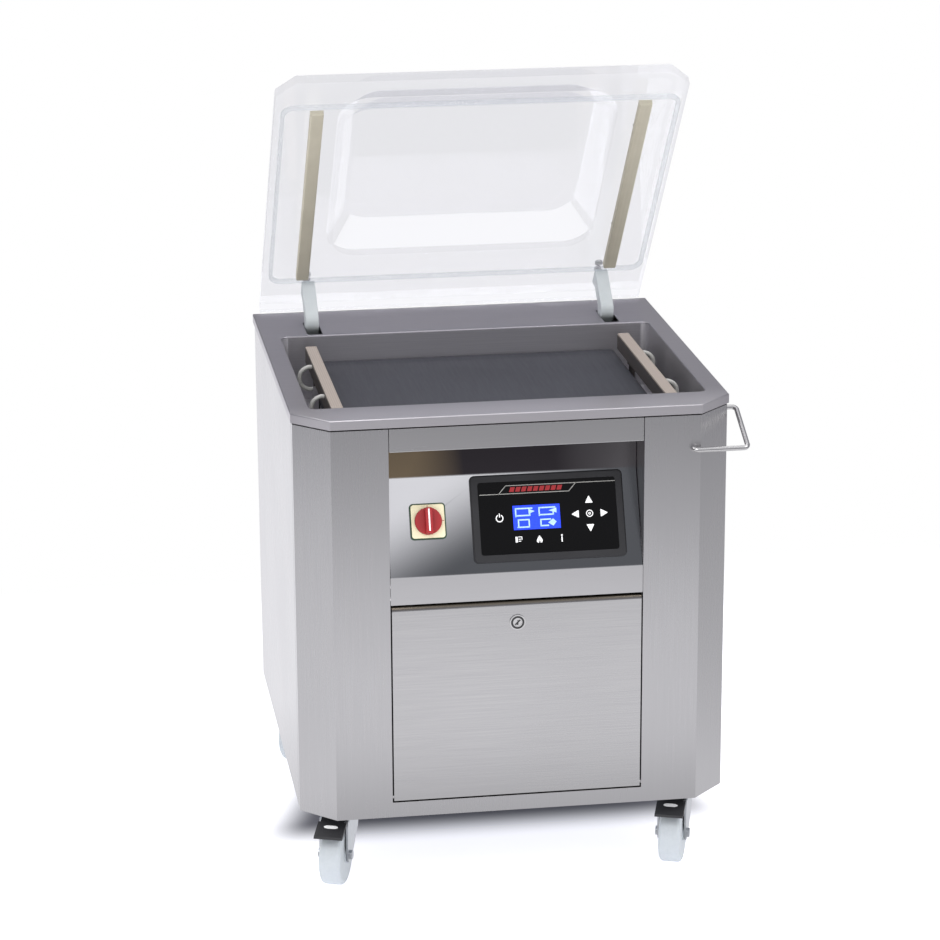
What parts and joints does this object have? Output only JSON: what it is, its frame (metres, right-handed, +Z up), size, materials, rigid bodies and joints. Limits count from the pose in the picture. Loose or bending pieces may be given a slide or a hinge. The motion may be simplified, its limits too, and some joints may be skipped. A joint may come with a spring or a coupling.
{
  "type": "chamber vacuum sealer",
  "caption": "Floor-standing chamber vacuum sealer: stainless cabinet on castors, sunk chamber with heated sealing bars, hinged clear domed lid, sloping console and service door.",
  "frame": {"origin": "on the floor under the middle of the deck", "axes": "+Z up, -Y towards the operator (console and service door), +X to the operator's right"},
  "size_m": [0.8035, 0.8255, 1.4237],
  "materials": {
    "stainless_brushed": "brushed",
    "stainless_deck": "fine brushed",
    "stainless_chamber": "satin",
    "filler_polyethylene": "smooth matte",
    "acrylic_clear": "clear",
    "silicone_clear": "translucent",
    "silicone_khaki": "matte",
    "cast_aluminium": "cast, powder coated grey",
    "steel_bright": "turned",
    "alloy_bar": "anodised dark",
    "ptfe_fabric": "woven coated",
    "lead_insulation": "silicone sleeve",
    "bezel_grey": "fine textured",
    "foil_black": "gloss foil",
    "lcd_blue": "backlit",
    "switch_cream": "gloss",
    "switch_green": "matte",
    "switch_red": "gloss",
    "zinc_steel": "zinc plated",
    "wheel_polyamide": "moulded",
    "pedal_black": "moulded",
    "pump_paint": "hammered enamel",
    "motor_paint": "enamel",
    "filter_black": "enamel",
    "hose_rubber": "matte",
    "brass": "machined",
    "galvanised": "galvanised sheet",
    "transformer_lacquer": "varnished laminations",
    "box_grey": "moulded",
    "gland_black": "moulded",
    "gas_tube": "black enamel"
  },
  "bodies": {
    "cabinet": {"front_frame": "stainless_brushed", "side_panel_left": "stainless_brushed", "side_panel_right": "stainless_brushed", "back_panel": "stainless_brushed", "base_tray": "galvanised", "deck": "stainless_deck", "chamber_well": "stainless_chamber", "filler_plates": "filler_polyethylene", "fascia": "stainless_brushed", "console": "stainless_brushed", "display_bezel": "bezel_grey", "keypad_foil": "foil_black", "lcd_window": "lcd_blue", "control_box": "box_grey", "switch_body": "switch_green", "switch_plate": "switch_cream", "hanger_rod": "steel_bright", "vacuum_pump": "pump_paint", "pump_motor": "motor_paint", "exhaust_filter": "filter_black", "pump_rails": "galvanised", "vacuum_hose": "hose_rubber", "valve_block": "brass", "transformer": "transformer_lacquer", "hinge_brackets": "galvanised", "mains_gland": "gland_black", "lift_cylinders": "cast_aluminium", "door_pins": "steel_bright", "castor_plates": "zinc_steel"},
    "lid_assembly": {"lid": "acrylic_clear", "lid_gasket": "silicone_clear", "counter_bars": "silicone_khaki", "lid_screws": "steel_bright", "hinge_arms": "cast_aluminium", "hinge_shaft": "steel_bright", "spring_studs": "steel_bright"},
    "door": {"service_door": "stainless_brushed", "lock_housing": "steel_bright"},
    "lock": {"lock_cam": "steel_bright"},
    "switch": {"switch_knob": "switch_red"},
    "bar_left": {"seal_bar_left": "alloy_bar", "seal_band_left": "ptfe_fabric", "leads_left": "lead_insulation"},
    "spring_tube_left": {"gas_spring_tube_left": "gas_tube"},
    "spring_rod_left": {"gas_spring_rod_left": "steel_bright"},
    "bar_right": {"seal_bar_right": "alloy_bar", "seal_band_right": "ptfe_fabric", "leads_right": "lead_insulation"},
    "spring_tube_right": {"gas_spring_tube_right": "gas_tube"},
    "spring_rod_right": {"gas_spring_rod_right": "steel_bright"},
    "fork_front_left": {"castor_fork_front_left": "zinc_steel"},
    "wheel_front_left": {"castor_wheel_front_left": "wheel_polyamide"},
    "pedal_front_left": {"brake_pedal_front_left": "pedal_black"},
    "fork_front_right": {"castor_fork_front_right": "zinc_steel"},
    "wheel_front_right": {"castor_wheel_front_right": "wheel_polyamide"},
    "pedal_front_right": {"brake_pedal_front_right": "pedal_black"},
    "fork_rear_left": {"castor_fork_rear_left": "zinc_steel"},
    "wheel_rear_left": {"castor_wheel_rear_left": "wheel_polyamide"},
    "fork_rear_right": {"castor_fork_rear_right": "zinc_steel"},
    "wheel_rear_right": {"castor_wheel_rear_right": "wheel_polyamide"}
  },
  "joints": [
    {"name": "lid_hinge", "type": "hinge", "parent": "cabinet", "child": "lid_assembly", "pos_m": [0, 0.34882, 0.80252], "axis": [1, 0, 0], "range_deg": [0, 49], "stiffness_Nm_per_rad": 32, "springref_deg": -74.48},
    {"name": "door_hinge", "type": "hinge", "parent": "cabinet", "child": "door", "pos_m": [0, -0.386, 0.1775], "axis": [1, 0, 0], "range_deg": [0, 90]},
    {"name": "lock_turn", "type": "hinge", "parent": "door", "child": "lock", "pos_m": [0, -0.392, 0.4975], "axis": [0, -1, 0], "range_deg": [0, 90]},
    {"name": "main_switch", "type": "hinge", "parent": "cabinet", "child": "switch", "pos_m": [-0.1535, -0.35399, 0.6802], "axis": [0, 0.9191, -0.3939], "range_deg": [0, 90]},
    {"name": "bar_lift_left", "type": "slide", "parent": "cabinet", "child": "bar_left", "axis": [0, 0, 1], "range_m": [0, 0.0077], "deforming": ["leads_left"]},
    {"name": "spring_swing_left", "type": "hinge", "parent": "cabinet", "child": "spring_tube_left", "pos_m": [-0.3155, 0.30882, 0.53752], "axis": [1, 0, 0], "range_deg": [0, 7.53]},
    {"name": "spring_stroke_left", "type": "slide", "parent": "spring_tube_left", "child": "spring_rod_left", "axis": [0, 0.0383, -0.9993], "range_m": [0, 0.05591]},
    {"name": "bar_lift_right", "type": "slide", "parent": "cabinet", "child": "bar_right", "axis": [0, 0, 1], "range_m": [0, 0.0077], "deforming": ["leads_right"]},
    {"name": "spring_swing_right", "type": "hinge", "parent": "cabinet", "child": "spring_tube_right", "pos_m": [0.3155, 0.30882, 0.53752], "axis": [1, 0, 0], "range_deg": [0, 7.53]},
    {"name": "spring_stroke_right", "type": "slide", "parent": "spring_tube_right", "child": "spring_rod_right", "axis": [0, 0.0383, -0.9993], "range_m": [0, 0.05591]},
    {"name": "swivel_front_left", "type": "hinge", "parent": "cabinet", "child": "fork_front_left", "pos_m": [-0.311, -0.302, 0.1365], "axis": [0, 0, 1], "continuous": true},
    {"name": "roll_front_left", "type": "hinge", "parent": "fork_front_left", "child": "wheel_front_left", "pos_m": [-0.32468, -0.33959, 0.055], "axis": [0.9397, -0.342, 0], "continuous": true},
    {"name": "brake_front_left", "type": "hinge", "parent": "fork_front_left", "child": "pedal_front_left", "pos_m": [-0.32571, -0.34241, 0.1225], "axis": [0.9397, -0.342, 0], "range_deg": [0, 7]},
    {"name": "swivel_front_right", "type": "hinge", "parent": "cabinet", "child": "fork_front_right", "pos_m": [0.311, -0.302, 0.1365], "axis": [0, 0, 1], "continuous": true},
    {"name": "roll_front_right", "type": "hinge", "parent": "fork_front_right", "child": "wheel_front_right", "pos_m": [0.29732, -0.33959, 0.055], "axis": [0.9397, -0.342, 0], "continuous": true},
    {"name": "brake_front_right", "type": "hinge", "parent": "fork_front_right", "child": "pedal_front_right", "pos_m": [0.29629, -0.34241, 0.1225], "axis": [0.9397, -0.342, 0], "range_deg": [0, 7]},
    {"name": "swivel_rear_left", "type": "hinge", "parent": "cabinet", "child": "fork_rear_left", "pos_m": [-0.311, 0.302, 0.1365], "axis": [0, 0, 1], "continuous": true},
    {"name": "roll_rear_left", "type": "hinge", "parent": "fork_rear_left", "child": "wheel_rear_left", "pos_m": [-0.331, 0.26736, 0.055], "axis": [0.866, -0.5, 0], "continuous": true},
    {"name": "swivel_rear_right", "type": "hinge", "parent": "cabinet", "child": "fork_rear_right", "pos_m": [0.311, 0.302, 0.1365], "axis": [0, 0, 1], "continuous": true},
    {"name": "roll_rear_right", "type": "hinge", "parent": "fork_rear_right", "child": "wheel_rear_right", "pos_m": [0.29473, 0.26546, 0.055], "axis": [0.9135, -0.4067, 0], "continuous": true}
  ],
  "couplings": [
    {"joint": "spring_swing_left", "follows": "lid_hinge", "ratio": 0.1434},
    {"joint": "spring_stroke_left", "follows": "lid_hinge", "m_per_rad": 0.064674},
    {"joint": "spring_swing_right", "follows": "lid_hinge", "ratio": 0.1434},
    {"joint": "spring_stroke_right", "follows": "lid_hinge", "m_per_rad": 0.064674}
  ]
}
